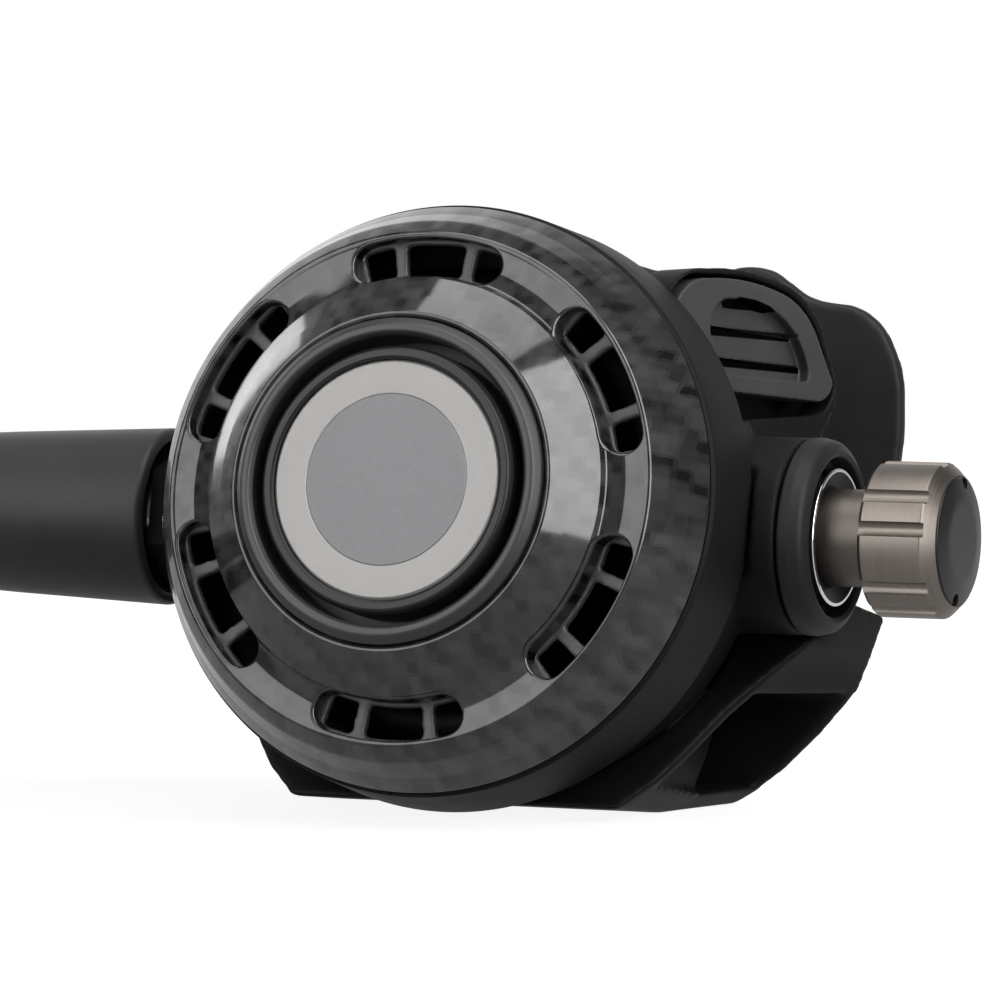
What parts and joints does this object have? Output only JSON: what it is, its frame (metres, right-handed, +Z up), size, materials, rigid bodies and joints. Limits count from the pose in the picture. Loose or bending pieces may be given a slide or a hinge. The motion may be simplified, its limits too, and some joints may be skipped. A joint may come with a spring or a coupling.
{
  "type": "scuba second stage",
  "caption": "Scuba demand valve with purge cover, breathing adjustment knob, flow lever, bite mouthpiece, exhaust tee and low-pressure hose.",
  "frame": {"origin": "centre of the exhaust tee's flat foot", "axes": "+Z up, +X along the valve barrel from the hose to the knob, -Y toward the diver's front, where the purge button faces"},
  "size_m": [0.2938, 0.206, 0.0778],
  "materials": {
    "carbon": "clear-coated carbon weave",
    "satin_black": "satin black plastic",
    "case_black": "fine-textured black plastic",
    "lever_grey": "textured dark grey plastic",
    "badge": "plain satin metal",
    "black_rubber": "matte black silicone",
    "grey_rubber": "matte dark grey rubber",
    "hose_rubber": "smooth black hose rubber",
    "bright_metal": "polished chrome",
    "knob_metal": "satin brown-grey metal",
    "steel": "satin steel",
    "brass": "plain brass",
    "clear_silicone": "soft pale silicone",
    "seal_black": "black seal rubber",
    "white_plastic": "plain white plastic"
  },
  "bodies": {
    "second_stage": {"front_cover": "carbon", "slot_plate": "lever_grey", "purge_collar": "satin_black", "retaining_ring": "case_black", "case_body": "case_black", "exhaust_tee": "black_rubber", "mouthpiece": "black_rubber", "end_collar": "satin_black", "valve_barrel": "bright_metal", "hose_protector": "grey_rubber", "swivel_nut": "bright_metal", "purge_spring": "steel", "diaphragm": "clear_silicone", "mouthpiece_clamp": "satin_black", "lever_seal": "seal_black", "barrel_nut": "bright_metal", "inlet_orifice": "brass", "orifice_seal": "seal_black", "poppet_spring": "steel", "stop_pin": "steel", "swivel_seal": "seal_black", "hose_stem": "bright_metal", "hose_ferrule": "steel", "hose_lead": "hose_rubber", "hose_coil": "hose_rubber", "far_ferrule": "steel", "far_fitting": "bright_metal", "far_seal": "seal_black"},
    "button": {"purge_button": "satin_black", "button_badge": "badge"},
    "diaphragm_plate": {"diaphragm_disc": "white_plastic"},
    "lever": {"demand_lever": "steel"},
    "poppet_group": {"poppet": "white_plastic", "seat_disc": "seal_black", "lever_washer": "steel", "lever_nut": "brass"},
    "piston_group": {"balance_piston": "white_plastic", "balance_seal": "seal_black"},
    "knob": {"adjuster_screw": "knob_metal", "adjuster_seal": "seal_black", "adjuster_knob": "knob_metal", "knob_cap": "satin_black"},
    "flow": {"flow_lever": "lever_grey", "flow_vane": "satin_black"},
    "exhaust_flap": {"exhaust_valve": "clear_silicone"}
  },
  "joints": [
    {"name": "purge_press", "type": "slide", "parent": "second_stage", "child": "button", "axis": [0, 0.9763, -0.2164], "range_m": [0, 0.003], "stiffness_N_per_m": 600, "deforming": ["purge_spring"]},
    {"name": "diaphragm_flex", "type": "slide", "parent": "second_stage", "child": "diaphragm_plate", "axis": [0, 0.9763, -0.2164], "range_m": [0, 0.00301], "deforming": ["diaphragm"]},
    {"name": "lever_swing", "type": "hinge", "parent": "second_stage", "child": "lever", "pos_m": [0.012, -0.011, 0.03691], "axis": [0, -0.2164, -0.9763], "range_deg": [0, 9.6]},
    {"name": "poppet_slide", "type": "slide", "parent": "second_stage", "child": "poppet_group", "axis": [1, 0, 0], "range_m": [0, 0.00081], "deforming": ["poppet_spring"]},
    {"name": "knob_turn", "type": "hinge", "parent": "piston_group", "child": "knob", "pos_m": [0.052, -0.0069, 0.036], "axis": [1, 0, 0], "range_deg": [-720, 360]},
    {"name": "knob_advance", "type": "slide", "parent": "second_stage", "child": "piston_group", "axis": [1, 0, 0], "range_m": [-0.00201, 0.00101]},
    {"name": "flow_turn", "type": "hinge", "parent": "second_stage", "child": "flow", "pos_m": [0.03418, 0.01278, 0.05407], "axis": [0.9373, -0.3403, 0.0754], "range_deg": [0, 8]},
    {"name": "exhaust_lift", "type": "slide", "parent": "second_stage", "child": "exhaust_flap", "axis": [0, 0.9763, -0.2164], "range_m": [0, 0.0015], "stiffness_N_per_m": 20}
  ],
  "couplings": [
    {"joint": "diaphragm_flex", "follows": "purge_press", "ratio": 1},
    {"joint": "lever_swing", "follows": "purge_press", "rad_per_m": 55.556},
    {"joint": "poppet_slide", "follows": "purge_press", "ratio": 0.26667},
    {"joint": "knob_advance", "follows": "knob_turn", "m_per_rad": 0.00015915}
  ]
}
